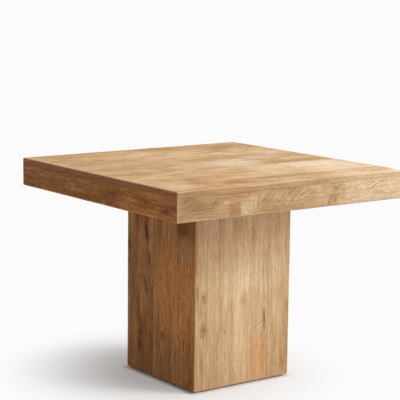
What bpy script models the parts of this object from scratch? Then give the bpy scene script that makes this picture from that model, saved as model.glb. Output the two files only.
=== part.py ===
"""Square pedestal dining table in solid wood.

A thick-edged square top of edge-glued boards is fixed, through a mounting plate, to a hollow square
pedestal of upright staves. The pedestal stands on four screw-adjusted levelling feet.
Metres, +Z up. The origin is on the floor, under the middle of the table.
"""

import math

import bmesh
import bpy
from mathutils import Matrix

# Overall sizes
TABLE_HEIGHT = 0.760
TOP_WIDTH = 0.965
TOP_THICKNESS = 0.100
PEDESTAL_WIDTH = 0.416
SHADOW_GAP = 0.006  # from the floor to the lower edge of the pedestal
EDGE_EASE = 0.003  # radius of the rounded outer edges
EASE_STEPS = 3
TRIM_ALLOWANCE = 0.005  # spare wood that the rounded outline trims off

# Clearances
GLUE_GAP = 0.0003  # between pieces that are glued, seated or screwed together
THREAD_CLEARANCE = 0.0003  # between a levelling stem and what it turns in

# Table top
BOARD_COUNT = 8
BOARD_THICKNESS = 0.020
EDGE_BAND_THICKNESS = 0.040
BATTEN_WIDTH = 0.060
BATTEN_HEIGHT = 0.040

# Mounting plate and its coach screws
PLATE_THICKNESS = 0.018
PLATE_OVERHANG = 0.072  # beyond the pedestal, on every side
SCREW_RADIUS = 0.004
SCREW_COVER = 0.013  # batten left above the point of a screw
SCREW_POINT_LENGTH = 0.008
SCREW_HEAD_FLATS = 0.013
SCREW_HEAD_HEIGHT = 0.0055
WASHER_RADIUS = 0.009
WASHER_THICKNESS = 0.0016

# Pedestal
STAVE_THICKNESS = 0.022
POST_WIDTH = 0.045
TENON_WIDTH = 0.025
BASE_BOARD_THICKNESS = 0.018

# Relative widths of the staves of each face, left to right as seen from outside
STAVE_PATTERNS = {
    "front": (5.0, 6.9, 4.5, 7.8, 7.4, 4.4, 5.6),
    "right": (6.2, 7.4, 11.5, 10.4, 6.1),
    "back": (5.6, 7.0, 6.2, 7.8, 5.2, 4.8, 5.0),
    "left": (6.1, 10.4, 11.5, 7.4, 6.2),
}

# Levelling feet
PAD_RADIUS = 0.016
PAD_HEIGHT = 0.0055
PAD_CHAMFER = 0.001
PAD_FLOOR = 0.0025  # pad left under the socket that the stem turns in
SOCKET_RADIUS = 0.006
COLLAR_FLATS = 0.013
COLLAR_HEIGHT = 0.005
STEM_RADIUS = 0.004
STEM_LENGTH = 0.040  # above the collar
STEM_CHAMFER = 0.001
NUT_WALL = 0.0014
NUT_BARREL_LENGTH = 0.012
NUT_FLANGE_RADIUS = 0.0115
NUT_FLANGE_THICKNESS = 0.0015

# Meshing of the round pieces
ROUND_SEGMENTS = 24
SHARP_ANGLE = math.radians(35)
WELD_DISTANCE = 1e-6

# Colours (linear) with the tones that vary them from board to board
TOP_COLOUR = (0.58, 0.40, 0.23)
EDGE_BAND_COLOUR = (0.53, 0.36, 0.20)
STAVE_COLOUR = (0.50, 0.34, 0.19)
INNER_WOOD_COLOUR = (0.56, 0.43, 0.28)
PLYWOOD_COLOUR = (0.60, 0.46, 0.30)
STEEL_COLOUR = (0.56, 0.57, 0.58)
GLIDE_COLOUR = (0.03, 0.03, 0.03)
WOOD_ROUGHNESS = 0.55
INNER_WOOD_ROUGHNESS = 0.7
STEEL_ROUGHNESS = 0.35
GLIDE_ROUGHNESS = 0.5
BOARD_TONES = (1.0, 0.94, 1.05, 0.97, 0.91, 1.03)

# Faces in order round the table, each a quarter turn on from the one before
FACES = ("front", "right", "back", "left")
CORNERS = {"front_left": (-1, -1), "front_right": (1, -1), "back_right": (1, 1), "back_left": (-1, 1)}

# Heights that follow from the sizes, from the top down
boards_bottom = TABLE_HEIGHT - BOARD_THICKNESS
top_bottom = TABLE_HEIGHT - TOP_THICKNESS
batten_top = boards_bottom - GLUE_GAP
batten_bottom = batten_top - BATTEN_HEIGHT
plate_top = batten_bottom - GLUE_GAP
plate_bottom = plate_top - PLATE_THICKNESS
pedestal_top = plate_bottom - GLUE_GAP
screw_tip = batten_top - SCREW_COVER

# Heights of the levelling feet, screwed right in, and of the base board above them, from the floor up
collar_bottom = PAD_HEIGHT + THREAD_CLEARANCE
collar_top = collar_bottom + COLLAR_HEIGHT
stem_top = collar_top + STEM_LENGTH
nut_bottom = collar_top + THREAD_CLEARANCE
flange_top = nut_bottom + NUT_FLANGE_THICKNESS
base_bottom = flange_top + GLUE_GAP
base_top = base_bottom + BASE_BOARD_THICKNESS
post_bottom = base_top + GLUE_GAP

# Plan sizes that follow
top_half = TOP_WIDTH / 2
pedestal_half = PEDESTAL_WIDTH / 2
band_inner_half = top_half - EDGE_BAND_THICKNESS - GLUE_GAP
plate_half = pedestal_half + PLATE_OVERHANG
screw_offset = pedestal_half + PLATE_OVERHANG / 2
inner_half = pedestal_half - STAVE_THICKNESS - GLUE_GAP
post_offset = inner_half - POST_WIDTH / 2
mitre_inset = GLUE_GAP / math.sqrt(2)
screw_hole_radius = SCREW_RADIUS + GLUE_GAP
nut_bore_radius = STEM_RADIUS + THREAD_CLEARANCE
nut_barrel_radius = nut_bore_radius + NUT_WALL
nut_hole_radius = nut_barrel_radius + GLUE_GAP


def clear_scene():
    for old in list(bpy.data.objects):
        bpy.data.objects.remove(old, do_unlink=True)


# Materials


def make_material(name, colour, roughness, metallic=0.0, tone=1.0):
    material = bpy.data.materials.new(name)
    material.use_nodes = True
    shader = material.node_tree.nodes["Principled BSDF"]
    shader.inputs["Base Color"].default_value = (*(tone * channel for channel in colour), 1.0)
    shader.inputs["Roughness"].default_value = roughness
    shader.inputs["Metallic"].default_value = metallic
    return material


def wood(name, colour, index):
    return make_material(name, colour, WOOD_ROUGHNESS, tone=BOARD_TONES[index % len(BOARD_TONES)])


def inner_wood(name):
    return make_material(name, INNER_WOOD_COLOUR, INNER_WOOD_ROUGHNESS)


def plywood(name):
    return make_material(name, PLYWOOD_COLOUR, INNER_WOOD_ROUGHNESS)


def steel(name):
    return make_material(name, STEEL_COLOUR, STEEL_ROUGHNESS, metallic=1.0)


def glide_plastic(name):
    return make_material(name, GLIDE_COLOUR, GLIDE_ROUGHNESS)


# Shapes


def box_mesh(low, high):
    """A box between two opposite corners."""
    size = [b - a for a, b in zip(low, high)]
    centre = [(a + b) / 2 for a, b in zip(low, high)]
    mesh = bmesh.new()
    bmesh.ops.create_cube(mesh, size=1.0, matrix=Matrix.Translation(centre) @ Matrix.Diagonal((*size, 1.0)))
    return mesh


def prism_mesh(outline, z_low, z_high):
    """A plan outline, anticlockwise seen from above, drawn up between two heights."""
    mesh = bmesh.new()
    base = mesh.faces.new([mesh.verts.new((x, y, z_low)) for x, y in outline])
    grown = bmesh.ops.extrude_face_region(mesh, geom=[base])
    risen = [item for item in grown["geom"] if isinstance(item, bmesh.types.BMVert)]
    bmesh.ops.translate(mesh, verts=risen, vec=(0, 0, z_high - z_low))
    bmesh.ops.recalc_face_normals(mesh, faces=mesh.faces)
    return mesh


def hexagon(flats):
    """Corner points of a hexagon, from its width across flats."""
    corner_radius = flats / math.sqrt(3)
    angles = [math.radians(60 * step) for step in range(6)]
    return [(corner_radius * math.cos(a), corner_radius * math.sin(a)) for a in angles]


def turned_mesh(profile, closed=False):
    """A profile of (radius, height) points turned about the Z axis, from axis to axis unless closed."""
    mesh = bmesh.new()
    points = [mesh.verts.new((radius, 0, height)) for radius, height in profile]
    pairs = list(zip(points, points[1:]))
    if closed:
        pairs.append((points[-1], points[0]))
    edges = [mesh.edges.new(pair) for pair in pairs]
    bmesh.ops.spin(
        mesh,
        geom=points + edges,
        axis=(0, 0, 1),
        cent=(0, 0, 0),
        angle=math.tau,
        steps=ROUND_SEGMENTS,
        use_merge=True,
    )
    bmesh.ops.remove_doubles(mesh, verts=mesh.verts, dist=WELD_DISTANCE)
    bmesh.ops.recalc_face_normals(mesh, faces=mesh.faces)
    return mesh


# Objects


def link(thing, parent=None):
    bpy.context.scene.collection.objects.link(thing)
    thing.parent = parent
    return thing


def make_assembly(name, location=(0, 0, 0), parent=None):
    """An empty that carries the pieces of one assembly."""
    carrier = link(bpy.data.objects.new(name, None), parent)
    carrier.location = location
    return carrier


def make_piece(name, mesh, material, parent, turn=0.0, smooth=False):
    data = bpy.data.meshes.new(name)
    mesh.to_mesh(data)
    mesh.free()
    if smooth:
        data.shade_smooth()
        data.set_sharp_from_angle(angle=SHARP_ANGLE)
    data.materials.append(material)
    piece = link(bpy.data.objects.new(name, data), parent)
    piece.rotation_euler.z = turn
    return piece


def make_cutter(name, mesh, parent):
    """A shape that only cuts, trims or adds to other pieces."""
    data = bpy.data.meshes.new(name)
    mesh.to_mesh(data)
    mesh.free()
    cutter = link(bpy.data.objects.new(name, data), parent)
    cutter.hide_render = True
    cutter.display_type = "WIRE"
    return cutter


def combine(piece, cutter, operation):
    modifier = piece.modifiers.new(cutter.name, "BOOLEAN")
    modifier.operation = operation
    modifier.object = cutter
    modifier.solver = "EXACT"


def eased_block(name, half_width, z_low, z_high, parent):
    """The rounded outline that trims the outer edges of a group of pieces."""
    mesh = box_mesh((-half_width, -half_width, z_low), (half_width, half_width, z_high))
    bmesh.ops.bevel(
        mesh,
        geom=list(mesh.edges),
        offset=EDGE_EASE,
        offset_type="OFFSET",
        segments=EASE_STEPS,
        profile=0.5,
        affect="EDGES",
    )
    return make_cutter(name, mesh, parent)


def round_cutter(name, centres, radius, z_low, z_high, parent):
    """Upright round holes of one size at several places."""
    mesh = bmesh.new()
    for x, y in centres:
        bmesh.ops.create_cone(
            mesh,
            cap_ends=True,
            segments=ROUND_SEGMENTS,
            radius1=radius,
            radius2=radius,
            depth=z_high - z_low,
            matrix=Matrix.Translation((x, y, (z_low + z_high) / 2)),
        )
    return make_cutter(name, mesh, parent)


def square_cutter(name, centres, width, z_low, z_high, parent):
    """Upright square mortises of one size at several places."""
    mesh = bmesh.new()
    for x, y in centres:
        place = Matrix.Translation((x, y, (z_low + z_high) / 2))
        stretch = Matrix.Diagonal((width, width, z_high - z_low, 1.0))
        bmesh.ops.create_cube(mesh, size=1.0, matrix=place @ stretch)
    return make_cutter(name, mesh, parent)


def corner_points(offset):
    return {name: (x * offset, y * offset) for name, (x, y) in CORNERS.items()}


def mitred_outline(half_width, thickness, start, end):
    """Plan of one length of a mitred frame along its front side, from start to end.

    The outer side stands proud by the trim allowance. An end at a corner of the frame is mitred, and
    any other end is square.
    """
    outer = -half_width - TRIM_ALLOWANCE
    inner = -half_width + thickness

    def left_at(depth):
        return depth + mitre_inset if start <= -half_width else start + GLUE_GAP / 2

    def right_at(depth):
        return -depth - mitre_inset if end >= half_width else end - GLUE_GAP / 2

    front = [(left_at(outer), outer), (right_at(outer), outer)]
    back = [(right_at(inner), inner), (left_at(inner), inner)]
    return front + back


# Table top


def make_top_boards(top, outline):
    width = (TOP_WIDTH - (BOARD_COUNT - 1) * GLUE_GAP) / BOARD_COUNT
    reach = top_half + TRIM_ALLOWANCE
    for index in range(BOARD_COUNT):
        name = f"top_board_{index + 1}"
        front = -top_half + index * (width + GLUE_GAP)
        back = front + width
        if index == 0:
            front -= TRIM_ALLOWANCE
        if index == BOARD_COUNT - 1:
            back += TRIM_ALLOWANCE
        mesh = box_mesh((-reach, front, boards_bottom), (reach, back, TABLE_HEIGHT + TRIM_ALLOWANCE))
        board = make_piece(name, mesh, wood(name, TOP_COLOUR, index), top)
        combine(board, outline, "INTERSECT")


def make_edge_bands(top, outline):
    plan = mitred_outline(top_half, EDGE_BAND_THICKNESS, -top_half, top_half)
    for index, face in enumerate(FACES):
        name = f"edge_band_{face}"
        mesh = prism_mesh(plan, top_bottom - TRIM_ALLOWANCE, boards_bottom - GLUE_GAP)
        colour = wood(name, EDGE_BAND_COLOUR, index)
        band = make_piece(name, mesh, colour, top, turn=index * math.pi / 2)
        combine(band, outline, "INTERSECT")


def make_battens(top, pilot_holes):
    for side, direction in (("left", -1), ("right", 1)):
        name = f"batten_{side}"
        middle = direction * screw_offset
        low = (middle - BATTEN_WIDTH / 2, -band_inner_half, batten_bottom)
        high = (middle + BATTEN_WIDTH / 2, band_inner_half, batten_top)
        batten = make_piece(name, box_mesh(low, high), inner_wood(name), top)
        combine(batten, pilot_holes, "DIFFERENCE")


def make_mounting_plate(top, screw_holes, mortises):
    low = (-plate_half, -plate_half, plate_bottom)
    high = (plate_half, plate_half, plate_top)
    plate = make_piece("mounting_plate", box_mesh(low, high), plywood("mounting_plate"), top)
    combine(plate, screw_holes, "DIFFERENCE")
    combine(plate, mortises, "DIFFERENCE")


def make_coach_screws(top):
    """Hexagon-headed screws with a washer face, driven up through the plate into the battens."""
    washer_top = plate_bottom - GLUE_GAP
    washer_bottom = washer_top - WASHER_THICKNESS
    profile = [
        (0, washer_bottom),
        (WASHER_RADIUS, washer_bottom),
        (WASHER_RADIUS, washer_top),
        (SCREW_RADIUS, washer_top),
        (SCREW_RADIUS, screw_tip - SCREW_POINT_LENGTH),
        (0, screw_tip),
    ]
    for corner, (x, y) in corner_points(screw_offset).items():
        name = f"coach_screw_{corner}"
        place = make_assembly(f"{name}_axis", (x, y, 0), top)
        screw = make_piece(name, turned_mesh(profile), steel(name), place, smooth=True)
        head_top = washer_bottom + WASHER_THICKNESS / 2
        head = prism_mesh(hexagon(SCREW_HEAD_FLATS), washer_bottom - SCREW_HEAD_HEIGHT, head_top)
        combine(screw, make_cutter(f"{name}_head", head, place), "UNION")


def make_table_top():
    top = make_assembly("table_top")
    outline = eased_block("top_outline", top_half, top_bottom, TABLE_HEIGHT, top)
    make_top_boards(top, outline)
    make_edge_bands(top, outline)

    screw_places = corner_points(screw_offset).values()
    plate_low = plate_bottom - TRIM_ALLOWANCE
    plate_high = plate_top + TRIM_ALLOWANCE
    hole_top = screw_tip + GLUE_GAP
    pilot_holes = round_cutter("pilot_holes", screw_places, screw_hole_radius, plate_low, hole_top, top)
    screw_holes = round_cutter("screw_holes", screw_places, screw_hole_radius, plate_low, plate_high, top)
    mortise_width = TENON_WIDTH + 2 * GLUE_GAP
    post_places = corner_points(post_offset).values()
    mortises = square_cutter("mortises", post_places, mortise_width, plate_low, plate_high, top)
    make_battens(top, pilot_holes)
    make_mounting_plate(top, screw_holes, mortises)
    make_coach_screws(top)


# Pedestal


def make_staves(pedestal, outline):
    for turn, face in enumerate(FACES):
        pattern = STAVE_PATTERNS[face]
        unit = PEDESTAL_WIDTH / sum(pattern)
        start = -pedestal_half
        for index, share in enumerate(pattern):
            name = f"stave_{face}_{index + 1}"
            is_last = index == len(pattern) - 1
            end = pedestal_half if is_last else start + share * unit
            plan = mitred_outline(pedestal_half, STAVE_THICKNESS, start, end)
            mesh = prism_mesh(plan, SHADOW_GAP - TRIM_ALLOWANCE, pedestal_top)
            colour = wood(name, STAVE_COLOUR, turn + index)
            stave = make_piece(name, mesh, colour, pedestal, turn=turn * math.pi / 2)
            combine(stave, outline, "INTERSECT")
            start = end


def make_corner_posts(pedestal, stem_bores):
    """Square posts in the corners, each with a tenon that keys into the mounting plate."""
    for corner, (x, y) in corner_points(post_offset).items():
        name = f"corner_post_{corner}"
        half = POST_WIDTH / 2
        mesh = box_mesh((x - half, y - half, post_bottom), (x + half, y + half, pedestal_top))
        top_face = max(mesh.faces, key=lambda face: face.calc_center_median().z)
        shoulder = (POST_WIDTH - TENON_WIDTH) / 2
        bmesh.ops.inset_region(mesh, faces=[top_face], thickness=shoulder, use_even_offset=True)
        grown = bmesh.ops.extrude_face_region(mesh, geom=[top_face])
        risen = [item for item in grown["geom"] if isinstance(item, bmesh.types.BMVert)]
        bmesh.ops.delete(mesh, geom=[top_face], context="FACES_ONLY")
        bmesh.ops.translate(mesh, verts=risen, vec=(0, 0, plate_top - pedestal_top))
        bmesh.ops.recalc_face_normals(mesh, faces=mesh.faces)
        post = make_piece(name, mesh, inner_wood(name), pedestal)
        combine(post, stem_bores, "DIFFERENCE")


def make_base_board(pedestal, nut_holes):
    low = (-inner_half, -inner_half, base_bottom)
    high = (inner_half, inner_half, base_top)
    board = make_piece("base_board", box_mesh(low, high), plywood("base_board"), pedestal)
    combine(board, nut_holes, "DIFFERENCE")


def make_pedestal():
    pedestal = make_assembly("pedestal")
    block_top = pedestal_top + 2 * TRIM_ALLOWANCE
    outline = eased_block("pedestal_outline", pedestal_half, SHADOW_GAP, block_top, pedestal)
    make_staves(pedestal, outline)

    foot_places = corner_points(post_offset).values()
    bore_low = base_bottom - TRIM_ALLOWANCE
    bore_high = max(stem_top, flange_top + NUT_BARREL_LENGTH) + THREAD_CLEARANCE
    bores = round_cutter("stem_bores", foot_places, nut_hole_radius, bore_low, bore_high, pedestal)
    make_corner_posts(pedestal, bores)
    make_base_board(pedestal, bores)


# Levelling feet


def make_pad(name, foot):
    """Round glide with a socket that the foot of the stem turns in."""
    profile = [
        (0, 0),
        (PAD_RADIUS - PAD_CHAMFER, 0),
        (PAD_RADIUS, PAD_CHAMFER),
        (PAD_RADIUS, PAD_HEIGHT - PAD_CHAMFER),
        (PAD_RADIUS - PAD_CHAMFER, PAD_HEIGHT),
        (SOCKET_RADIUS, PAD_HEIGHT),
        (SOCKET_RADIUS, PAD_FLOOR),
        (0, PAD_FLOOR),
    ]
    make_piece(name, turned_mesh(profile), glide_plastic(name), foot, smooth=True)


def make_stem(name, foot):
    """Screw with a round foot in the pad's socket and a hexagon collar for a spanner."""
    foot_radius = SOCKET_RADIUS - THREAD_CLEARANCE
    foot_top = (collar_bottom + collar_top) / 2
    profile = [
        (0, PAD_FLOOR + THREAD_CLEARANCE),
        (foot_radius, PAD_FLOOR + THREAD_CLEARANCE),
        (foot_radius, foot_top),
        (STEM_RADIUS, foot_top),
        (STEM_RADIUS, stem_top - STEM_CHAMFER),
        (STEM_RADIUS - STEM_CHAMFER, stem_top),
        (0, stem_top),
    ]
    stem = make_piece(name, turned_mesh(profile), steel(name), foot, smooth=True)
    collar = prism_mesh(hexagon(COLLAR_FLATS), collar_bottom, collar_top)
    combine(stem, make_cutter(f"{name}_collar", collar, foot), "UNION")


def make_nut(name, foot):
    """Flanged tee nut, pressed up into the base board from below."""
    barrel_top = flange_top + NUT_BARREL_LENGTH
    profile = [
        (nut_bore_radius, nut_bottom),
        (NUT_FLANGE_RADIUS, nut_bottom),
        (NUT_FLANGE_RADIUS, flange_top),
        (nut_barrel_radius, flange_top),
        (nut_barrel_radius, barrel_top),
        (nut_bore_radius, barrel_top),
    ]
    make_piece(name, turned_mesh(profile, closed=True), steel(name), foot, smooth=True)


def make_levelling_feet():
    for corner, (x, y) in corner_points(post_offset).items():
        foot = make_assembly(f"leveller_{corner}", (x, y, 0))
        make_pad(f"leveller_pad_{corner}", foot)
        make_stem(f"leveller_stem_{corner}", foot)
        make_nut(f"leveller_nut_{corner}", foot)


def main():
    clear_scene()
    make_table_top()
    make_pedestal()
    make_levelling_feet()


main()
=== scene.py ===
"""Looks of the square pedestal dining table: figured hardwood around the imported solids.

Metres, +Z up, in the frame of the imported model. "Front" is the face towards -Y, which is the light
face on the right of the picture, and "left" is the shaded face towards -X.
"""

import math
import random
from dataclasses import dataclass, replace

import bpy
import numpy as np
from mathutils import Euler, Matrix, Vector, noise


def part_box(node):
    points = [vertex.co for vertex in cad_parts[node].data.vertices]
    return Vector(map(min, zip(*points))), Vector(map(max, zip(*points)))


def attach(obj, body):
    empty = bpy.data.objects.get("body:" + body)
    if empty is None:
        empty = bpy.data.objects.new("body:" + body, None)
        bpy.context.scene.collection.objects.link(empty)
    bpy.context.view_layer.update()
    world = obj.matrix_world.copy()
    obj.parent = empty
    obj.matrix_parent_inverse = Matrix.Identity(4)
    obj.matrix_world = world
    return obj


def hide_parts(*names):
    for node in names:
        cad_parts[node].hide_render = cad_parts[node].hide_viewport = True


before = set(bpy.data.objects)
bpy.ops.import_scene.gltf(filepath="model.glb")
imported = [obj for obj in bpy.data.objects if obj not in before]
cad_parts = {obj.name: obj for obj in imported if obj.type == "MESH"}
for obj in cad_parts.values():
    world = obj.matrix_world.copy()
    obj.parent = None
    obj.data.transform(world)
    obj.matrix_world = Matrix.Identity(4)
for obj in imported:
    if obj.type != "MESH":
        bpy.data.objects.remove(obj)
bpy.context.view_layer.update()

# Faces of the table in order, each a quarter turn on from the one before, and its corners
FACES = ("front", "right", "back", "left")
CORNERS = ("front_left", "front_right", "back_right", "back_left")
STAVE_COUNTS = {"front": 7, "right": 5, "back": 7, "left": 5}
BOARD_COUNT = 8

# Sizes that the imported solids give
top_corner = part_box(f"top_board_{BOARD_COUNT}")[1]
top_half = top_corner.x
table_height = top_corner.z
band_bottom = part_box("edge_band_front")[0].z
pedestal_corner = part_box("stave_front_1")[0]
pedestal_half = -pedestal_corner.y
pedestal_bottom = pedestal_corner.z

# Shaping of the wood
TOP_RADIUS = 0.0055  # of the rounded outer edges of the top, before wear
PEDESTAL_RADIUS = 0.0032
ARRIS_WEAR = 0.45  # how far the radius strays from that, as a share
WEAR_WAVES = 14.0  # strays for each metre of edge
SEAM_CHAMFER = 0.0004  # small bevel on both sides of a glue joint
FACE_WAVE = 0.00025  # depth of the shallow planing waves
FACE_WAVES = 9.0  # planing waves for each metre
BOARD_STEP = 0.0002  # how far one board may lie below the next
WORN_DEPTH = 0.0075  # how far the top falls at its worn corner, the front right one
WORN_REACH = 0.075
MITRE_GAP = 0.0002
# On the back side of the top this brings in the painted shade of the end grain
BOARD_SIDES = (0.55, 0.80)  # share of the end grain's colour on the front and back sides of the top
GRAIN_SHIFT = 40.0  # most that the grain of a piece is moved along an axis, so that no two are alike

# Mesh of the wood: its step, and its finer divisions next to a rounded edge and to a glue joint
MESH_STEP = 0.012
ARRIS_DIVISIONS = (0.0007, 0.0016, 0.0028, 0.0045, 0.0065, 0.0085)
SEAM_DIVISIONS = (0.0006, 0.0018)
TOUCHING = 1e-6  # a point nearer to a plane than this lies on it
SMOOTH_ANGLE = math.radians(40)

# Axes and ends of a piece of wood
X, Y, Z = range(3)
LOW, HIGH = range(2)

# Camera, fitted to the edges of the table in a picture of 400 by 400 pixels, with angles in radians
CAMERA_YAW = 0.6355
CAMERA_PITCH = 0.1586
CAMERA_ROLL = 0.0120
CAMERA_DISTANCE = 4.9206
CAMERA_SIDE = -0.0312
CAMERA_HEIGHT = 1.4154
CAMERA_LENS = 125.93
SENSOR_WIDTH = 36.0


def srgb(red, green, blue):
    """Linear colour of a screen colour given from 0 to 255."""
    def linear(value):
        share = value / 255
        return share / 12.92 if share <= 0.04045 else ((share + 0.055) / 1.055) ** 2.4

    return (linear(red), linear(green), linear(blue), 1.0)


# Shader graphs

NOISE_RANGE = (0.3, 0.7)  # most of a noise lies in it


class Graph:
    """The shader nodes of a material or world, added and linked by short calls."""

    def __init__(self, owner):
        owner.use_nodes = True
        self.owner = owner
        self.tree = owner.node_tree

    @property
    def shader(self):
        return self.tree.nodes["Principled BSDF"]

    def put(self, socket, value):
        if isinstance(value, bpy.types.NodeSocket):
            self.tree.links.new(value, socket)
        else:
            socket.default_value = value

    def add(self, kind, inputs, output=0, **settings):
        node = self.tree.nodes.new(kind)
        for name, value in settings.items():
            setattr(node, name, value)
        for socket, value in inputs.items():
            self.put(node.inputs[socket], value)
        return node.outputs[output]

    def attribute(self, name, output):
        return self.add("ShaderNodeAttribute", {}, output, attribute_name=name)

    def position(self):
        return self.add("ShaderNodeTexCoord", {}, "Object")

    def math(self, operation, *values):
        return self.add("ShaderNodeMath", dict(enumerate(values)), operation=operation)

    def vector(self, operation, *values, output="Vector", scale=None):
        inputs = dict(enumerate(values))
        if scale is not None:
            inputs["Scale"] = scale
        return self.add("ShaderNodeVectorMath", inputs, output, operation=operation)

    def scaled(self, vector, scale):
        return self.vector("MULTIPLY", vector, scale)

    def length(self, vector):
        return self.vector("LENGTH", vector, output="Value")

    def part(self, vector, axis):
        """One component of a vector along an axis."""
        return self.vector("DOT_PRODUCT", vector, axis, output="Value")

    def join(self, x, y, z):
        return self.add("ShaderNodeCombineXYZ", {"X": x, "Y": y, "Z": z})

    def noise(self, vector, detail=2.0, roughness=0.5, output="Fac"):
        inputs = {"Vector": vector, "Scale": 1.0, "Detail": detail, "Roughness": roughness}
        return self.add("ShaderNodeTexNoise", inputs, output)

    def span(self, value, low, high, to_low=0.0, to_high=1.0):
        """Smooth step from one value to another as the input goes from low to high."""
        inputs = {"Value": value, "From Min": low, "From Max": high, "To Min": to_low, "To Max": to_high}
        return self.add("ShaderNodeMapRange", inputs, interpolation_type="SMOOTHSTEP")

    def mix(self, share, first, second, blend="MIX"):
        inputs = {0: share, 6: first, 7: second}
        return self.add("ShaderNodeMix", inputs, 2, data_type="RGBA", blend_type=blend)

    def lay(self, colour, detail, strength, over):
        """A detail's colour laid over another, by its share and strength."""
        return self.mix(self.math("MULTIPLY", detail, strength), over, colour)

    def ramp(self, value, stops):
        node = self.tree.nodes.new("ShaderNodeValToRGB")
        elements = node.color_ramp.elements
        while len(elements) < len(stops):
            elements.new(0.5)
        for element, (place, colour) in zip(elements, stops):
            element.position = place
            element.color = colour
        self.put(node.inputs["Fac"], value)
        return node.outputs["Color"]

    def tones(self, value, dark, pale):
        """Colour from dark to pale over the range of a noise."""
        return self.ramp(value, list(zip(NOISE_RANGE, (dark, pale))))

    def bump(self, height, strength, distance):
        inputs = {"Height": height, "Strength": strength, "Distance": distance}
        self.put(self.shader.inputs["Normal"], self.add("ShaderNodeBump", inputs))

    def finish(self, colour, roughness, metallic=0.0):
        self.put(self.shader.inputs["Base Color"], colour)
        self.put(self.shader.inputs["Roughness"], roughness)
        self.shader.inputs["Metallic"].default_value = metallic
        return self.owner


def new_material(name):
    return Graph(bpy.data.materials.new(name))


# Wood


@dataclass
class Palette:
    """Colours of one face's wood, from the palest streaks to the darkest, and of its arrises, worn and lit
    with a painted highlight.
    """

    pale: tuple
    middle: tuple
    deep: tuple
    line: tuple
    worn_and_highlit: tuple


@dataclass
class Figure:
    """How the grain of a face runs. Scales are counts for each metre, along and across the grain."""

    hills: tuple  # scale of the hills whose contours are the growth rings
    rings: float  # contours from the lowest hill to the highest
    straight: float  # further rings for each metre across, which run straight
    lines: float  # strength of the rings
    streaks: tuple  # scale of the colour streaks
    clouds: tuple  # scale of the soft patches
    cloud_strength: float
    dashes: tuple  # scale of the short dark dashes
    dash_strength: float
    fibres: tuple  # scale of the fibres
    fibre_strength: float
    mottle: float  # strength of the fine, short mottle
    curl: float = 0.0  # strength of slanting strokes, as in curly grain


@dataclass
class Mark:
    """A knot, stain or streak on a face, or a patch of painted light or shade: its place and half sizes,
    across the face and up it.
    """

    place: tuple
    reach: tuple
    colour: tuple
    strength: float
    core: tuple = (0.0, 0.0)  # shares of the reach, across and up, at full strength
    knot: float = 0.0  # how many growth rings bend round it
    ragged: float = 1.0  # how far its outline follows the fibres
    lean: float = 0.0  # how far it slants across for each metre up


# Directions across and up each face, as seen from outside
FACE_AXES = {
    "front": ((1, 0, 0), (0, 0, 1)),
    "right": ((0, 1, 0), (0, 0, 1)),
    "back": ((-1, 0, 0), (0, 0, 1)),
    "left": ((0, -1, 0), (0, 0, 1)),
    "top": ((1, 0, 0), (0, 1, 0)),
}

# Scales of the grain that all faces share, along and across the fibres
PORE_SCALE = (48.0, 800.0)
MOTTLE_SCALE = (45.0, 110.0)
RAGGED_SCALE = (14.0, 60.0)
CURL_SCALE = (22.0, 120.0)
END_SCALE = (14.0, 14.0, 260.0)  # along the axes of the table

# Noise at which each detail starts and is full, for some with the least and the full share of it
STREAK_STOPS = (0.34, 0.50, 0.66)  # deep, middle and pale wood
PALE_CLOUDS = (0.50, 0.70)
DEEP_CLOUDS = (0.50, 0.30)
SPECKLES = (0.3, 0.7)  # dark to pale fibres
RINGS_ON_FIBRES = (0.35, 0.65, 0.2, 1.0)
RINGS_ON_CLOUDS = (0.35, 0.6, 0.35, 1.0)
CURLS = (0.50, 0.70)
CURL_PATCHES = (0.48, 0.62)
DASHES = (0.56, 0.70)
PORES = (0.58, 0.72)
WEAR_AND_HIGHLIGHT_ON_FIBRES = (0.3, 0.6, 0.3, 0.9)
END_STOPS = (0.38, 0.62)  # dark and pale end grain

DARK_FIBRE = (0.77, 0.72, 0.66, 1.0)  # of the colour below it
PALE_FIBRE = (1.24, 1.29, 1.36, 1.0)
# The end grain of the left and back is darker and redder as painted shade
PAINTED_SHADE_ENDS = (srgb(139, 86, 46), srgb(170, 112, 64))  # dark and pale end grain, left and back
LIT_ENDS = (srgb(160, 126, 90), srgb(182, 148, 110))  # front and right
LIT_SIDE = (1, -1, 0)  # direction from the shaded sides to the lit ones
LIT_BLEND = 0.01
RAGGED_REACH = 0.016
CURL_SLANT = math.radians(46)
LATE_WOOD = 3.0  # power that narrows a growth ring to its dark late wood
KNOT_LINES = 2.2  # what a knot adds to the strength of the growth rings
PORE_STRENGTH = 0.40
END_STRENGTH = 0.9
SEAM_STRENGTH = 0.35
RING_DEPTH = -0.35  # height of the late wood, where that of the pores is -1
WOOD_ROUGHNESS = (0.74, 0.62)  # of deep and pale streaks
WOOD_SPECULAR = 0.15


def stretched(graph, grain, scale):
    """Grain coordinates scaled along and across the fibres."""
    return graph.scaled(grain, (scale[0], scale[1], scale[1]))


def mark_share(graph, spot, ragged, mark):
    """From 0 at the edge of a mark to its strength in the middle."""
    if mark.ragged:
        spot = graph.vector("ADD", spot, graph.vector("SCALE", ragged, scale=mark.ragged))
    away = graph.vector("DIVIDE", graph.vector("SUBTRACT", spot, (*mark.place, 0)), (*mark.reach, 1))
    if mark.knot:
        return graph.span(graph.length(away), 1.0, 0.0, 0.0, mark.strength)
    slant = mark.lean * mark.reach[1] / mark.reach[0]
    sideways = graph.math("ABSOLUTE", graph.part(away, (1, -slant, 0)))
    upwards = graph.math("ABSOLUTE", graph.part(away, (0, 1, 0)))
    sideways = graph.span(sideways, 1.0, mark.core[0])
    upwards = graph.span(upwards, 1.0, mark.core[1], 0.0, mark.strength)
    return graph.math("MULTIPLY", sideways, upwards)


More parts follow.
